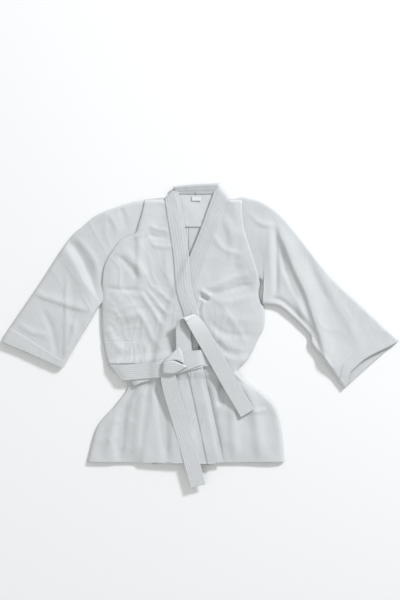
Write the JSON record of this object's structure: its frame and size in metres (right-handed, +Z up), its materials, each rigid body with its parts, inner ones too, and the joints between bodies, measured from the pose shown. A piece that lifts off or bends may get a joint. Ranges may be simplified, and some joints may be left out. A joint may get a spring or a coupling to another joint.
{
  "type": "martial arts jacket with tied belt",
  "caption": "Wrap-over cotton training jacket lying flat on its back, with wide folding sleeves, a quilted collar band and a tied belt with two loose tails.",
  "frame": {"origin": "on the surface that the jacket lies on, under the back of the waist, where the centre back seam meets the belt", "axes": "+Z up from the surface, through the jacket's thickness; +Y from the waist to the collar; +X towards the wearer's left sleeve"},
  "size_m": [1.0334, 0.7893, 0.044],
  "materials": {
    "cotton_cloth": "plain-weave cotton, washed, soft creases",
    "quilted_band": "several plies of cotton with lengthwise stitch rows",
    "lining_cotton": "smooth cotton lining",
    "belt_cotton": "stiff cotton belt with lengthwise stitch rows",
    "label_tape": "plain satin label tape"
  },
  "bodies": {
    "jacket": {"back_panel_right": "cotton_cloth", "back_panel_left": "cotton_cloth", "yoke_lining": "lining_cotton", "inner_tie_side": "belt_cotton", "inner_tie_front": "belt_cotton", "inner_tie_knot": "belt_cotton", "front_panel_left": "cotton_cloth", "lapel_left": "quilted_band", "front_panel_right": "cotton_cloth", "lapel_right": "quilted_band", "collar_back": "quilted_band", "side_patch_right": "cotton_cloth", "belt_inner_turn": "belt_cotton", "belt_outer_turn": "belt_cotton", "belt_knot": "belt_cotton", "belt_knot_fold": "belt_cotton", "belt_loop": "belt_cotton"},
    "right_sleeve": {"sleeve_right": "cotton_cloth", "cuff_right": "cotton_cloth"},
    "left_sleeve": {"sleeve_left": "cotton_cloth", "cuff_left": "cotton_cloth"},
    "left_tail": {"belt_tail_left": "belt_cotton"},
    "right_tail": {"belt_tail_right": "belt_cotton"},
    "label": {"neck_label": "label_tape"}
  },
  "joints": [
    {"name": "right_sleeve_fold", "type": "hinge", "parent": "jacket", "child": "right_sleeve", "pos_m": [-0.177, 0.2965, 0.033], "axis": [0.3423, 0.9396, 0], "range_deg": [0, 180]},
    {"name": "left_sleeve_fold", "type": "hinge", "parent": "jacket", "child": "left_sleeve", "pos_m": [0.161, 0.2965, 0.033], "axis": [0.2383, -0.9712, 0], "range_deg": [0, 180]},
    {"name": "left_tail_lift", "type": "hinge", "parent": "jacket", "child": "left_tail", "pos_m": [-0.008, 0.128, 0.0413], "axis": [-0.8415, -0.5402, 0], "range_deg": [0, 186]},
    {"name": "right_tail_lift", "type": "hinge", "parent": "jacket", "child": "right_tail", "pos_m": [-0.05, -0.022, 0.04], "axis": [-0.9668, -0.2554, 0], "range_deg": [0, 185]},
    {"name": "label_flip", "type": "hinge", "parent": "jacket", "child": "label", "pos_m": [0.022, 0.438, 0.0065], "axis": [-1, 0, 0], "range_deg": [0, 80]}
  ]
}
